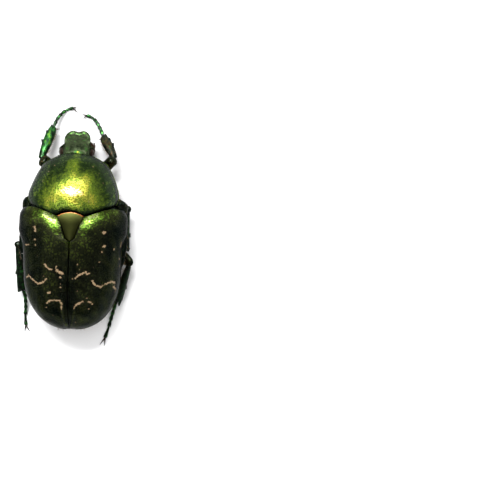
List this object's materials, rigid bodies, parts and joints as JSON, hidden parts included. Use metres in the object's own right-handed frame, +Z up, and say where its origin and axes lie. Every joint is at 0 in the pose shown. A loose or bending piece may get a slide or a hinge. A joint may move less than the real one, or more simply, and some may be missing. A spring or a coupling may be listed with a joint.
{
  "type": "beetle specimen",
  "caption": "Metallic green flower chafer, a still life-size model standing on its feet, with closed wing cases and its legs drawn in beside the body.",
  "frame": {"origin": "centre of the bounding box on the floor that the feet stand on", "axes": "+Y towards the head, +X the beetle's right, +Z up"},
  "size_m": [0.0127, 0.0257, 0.0087],
  "materials": {
    "shield_green": "glossy metallic golden green, finely pitted",
    "case_green": "glossy metallic dark green with cream fleck marks",
    "belly_bronze": "glossy bronze green",
    "leg_green": "glossy emerald to bronze green",
    "eye_brown": "smooth, dark brown",
    "feeler_brown": "satin dark brown"
  },
  "bodies": {
    "root": {"abdomen": "belly_bronze", "antenna_left": "feeler_brown", "antenna_right": "feeler_brown", "coxa_front_left": "belly_bronze", "coxa_front_right": "belly_bronze", "coxa_hind_left": "belly_bronze", "coxa_hind_right": "belly_bronze", "coxa_middle_left": "belly_bronze", "coxa_middle_right": "belly_bronze", "elytron_left": "case_green", "elytron_right": "case_green", "eye_left": "eye_brown", "eye_right": "eye_brown", "femur_front_left": "belly_bronze", "femur_front_right": "belly_bronze", "femur_hind_left": "belly_bronze", "femur_hind_right": "belly_bronze", "femur_middle_left": "belly_bronze", "femur_middle_right": "belly_bronze", "head": "shield_green", "mesepimeron_left": "belly_bronze", "mesepimeron_right": "belly_bronze", "mouthparts": "feeler_brown", "pronotum": "shield_green", "prosternum": "belly_bronze", "pygidium": "belly_bronze", "scutellum": "shield_green", "tarsus_front_left": "leg_green", "tarsus_front_right": "leg_green", "tarsus_hind_left": "leg_green", "tarsus_hind_right": "leg_green", "tarsus_middle_left": "leg_green", "tarsus_middle_right": "leg_green", "thorax": "belly_bronze", "tibia_front_left": "leg_green", "tibia_front_right": "leg_green", "tibia_hind_left": "leg_green", "tibia_hind_right": "leg_green", "tibia_middle_left": "leg_green", "tibia_middle_right": "leg_green"}
  },
  "joints": []
}
